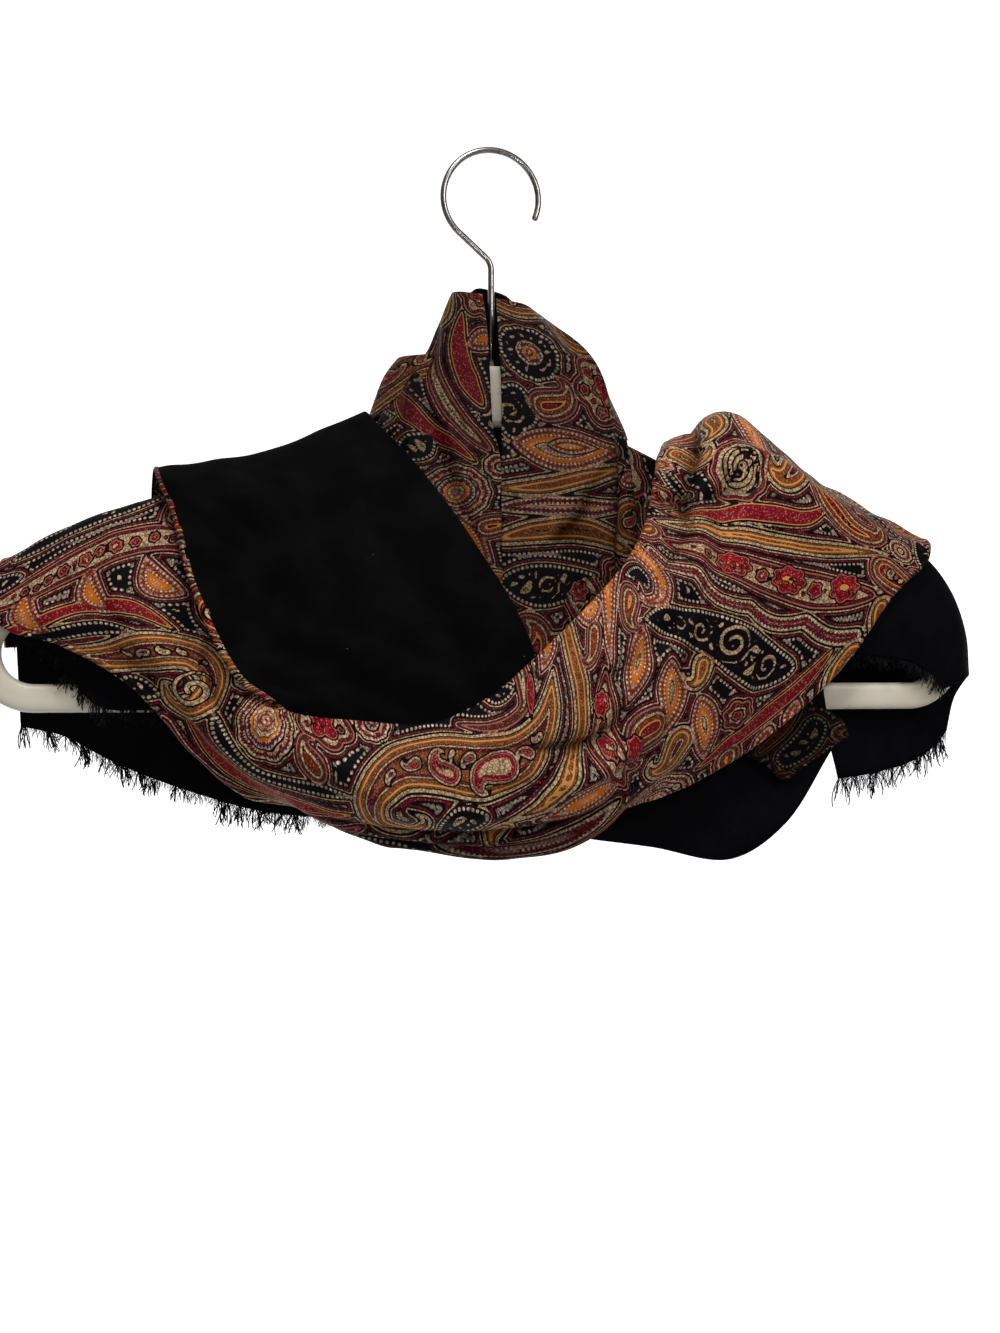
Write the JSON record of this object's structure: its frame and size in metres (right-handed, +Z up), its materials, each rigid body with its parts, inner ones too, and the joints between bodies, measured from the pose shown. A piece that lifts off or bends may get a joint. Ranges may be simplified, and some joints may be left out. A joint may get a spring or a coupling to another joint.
{
  "type": "scarf on coat hanger",
  "caption": "Long reversible scarf, paisley silk on one face and black wool on the other, wound round a tubular coat hanger with a steel hook.",
  "frame": {"origin": "inside of the top of the hanger's hook, where a rail holds it", "axes": "+X along the hanger's bar towards the fan-shaped gather, -Y the front, +Z up"},
  "size_m": [0.4416, 0.0972, 0.3117],
  "materials": {
    "hanger_plastic": "warm white moulded plastic, lightly glossy",
    "hook_steel": "bright drawn steel wire",
    "printed_silk": "silk twill printed with a paisley design in cream, gold, orange, crimson and black",
    "black_wool": "matt black wool, soft nap, raw frayed ends"
  },
  "bodies": {
    "root": {"hanger_body": "hanger_plastic", "hanger_hook": "hook_steel", "left_end": "black_wool", "lower_tail": "black_wool", "right_end": "black_wool", "left_sweep": "printed_silk", "front_swag": "printed_silk", "right_fan": "printed_silk", "left_flap": "black_wool", "collar": "printed_silk", "neck_left": "printed_silk", "neck_right": "printed_silk", "back_fall": "printed_silk", "left_shoulder": "printed_silk", "printed_corner": "printed_silk", "fringe_left_back": "black_wool", "fringe_left_front": "black_wool", "fringe_right_back": "black_wool", "fringe_right_front": "black_wool"}
  },
  "joints": []
}
